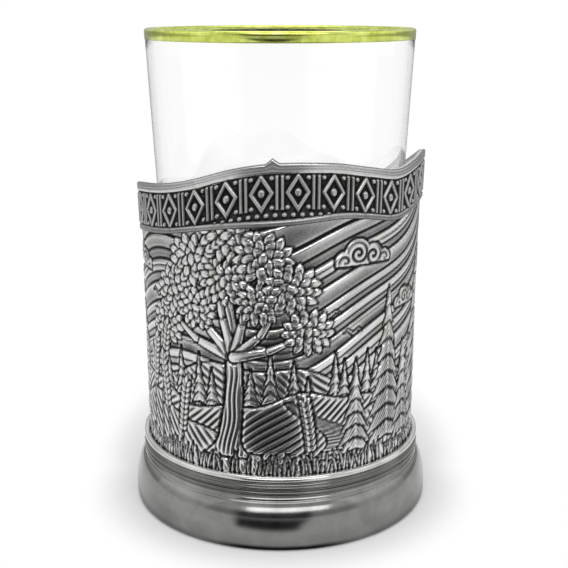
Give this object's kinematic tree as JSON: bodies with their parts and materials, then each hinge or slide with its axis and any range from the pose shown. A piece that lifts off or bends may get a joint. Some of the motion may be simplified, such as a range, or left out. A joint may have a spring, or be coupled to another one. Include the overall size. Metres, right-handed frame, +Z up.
{
  "type": "podstakannik tea glass holder",
  "caption": "Embossed metal tea glass holder with a footed base, wavy ribbon rim, strap handle and a thin gilt-rimmed glass that lifts out.",
  "frame": {"origin": "middle of the foot on the table", "axes": "+Z up, -Y is the front, +Y points to the handle, +X is the right-hand side seen from the front"},
  "size_m": [0.0818, 0.1174, 0.1279],
  "materials": {
    "oxidised_silver": "satin",
    "polished_nickel": "polished",
    "clear_glass": "gloss",
    "fired_gold": "gloss"
  },
  "bodies": {
    "holder": {"body_shell": "oxidised_silver", "foot_shell": "polished_nickel", "floor_pan": "polished_nickel", "base_bead": "polished_nickel", "seam_plate": "oxidised_silver", "handle_loop": "oxidised_silver", "thumb_rest": "oxidised_silver"},
    "glass": {"tea_glass": "clear_glass", "gilt_rim": "fired_gold"}
  },
  "joints": [
    {"name": "glass_lift", "type": "slide", "parent": "holder", "child": "glass", "axis": [0, 0, 1], "range_m": [0, 0.09]}
  ]
}
